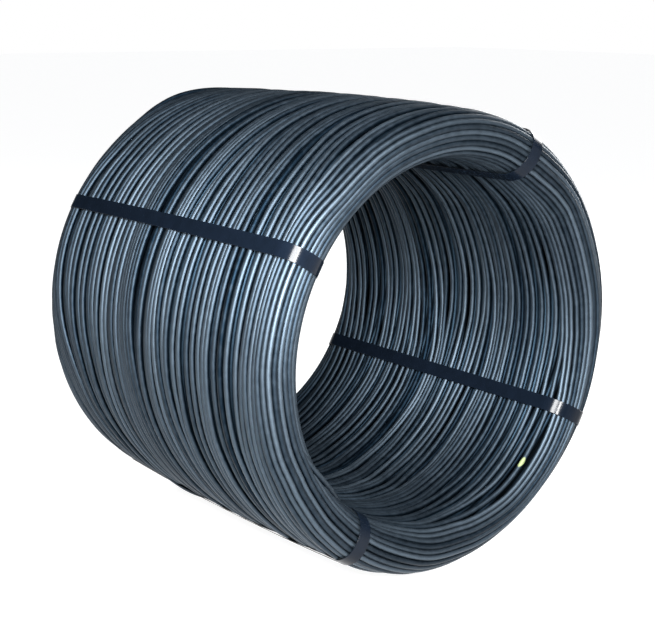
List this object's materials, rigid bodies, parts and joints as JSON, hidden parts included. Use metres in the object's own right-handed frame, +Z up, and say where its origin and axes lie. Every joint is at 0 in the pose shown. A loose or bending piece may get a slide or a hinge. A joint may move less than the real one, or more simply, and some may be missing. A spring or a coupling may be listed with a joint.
{
  "type": "wire rod coil",
  "caption": "Coil of round steel wire rod lying on its side, wound to a barrel with rounded ends and a wide open eye, and tied through the eye with flat steel straps",
  "frame": {"origin": "middle of the eye, on the coil's axis, halfway along the coil", "axes": "+X runs along the coil's axis out of the end that faces the viewer, +Z is up, and the coil lies on its side"},
  "size_m": [0.853, 1, 0.9996],
  "materials": {
    "wire_rod": "hot rolled rod with thin blue-grey mill scale, satin, darker between the turns",
    "strap": "blue-black lacquered steel strapping, glossy at the bends"
  },
  "bodies": {
    "root": {"wire_coil": "wire_rod", "strap_1": "strap", "strap_2": "strap", "strap_3": "strap", "strap_4": "strap"}
  },
  "joints": []
}
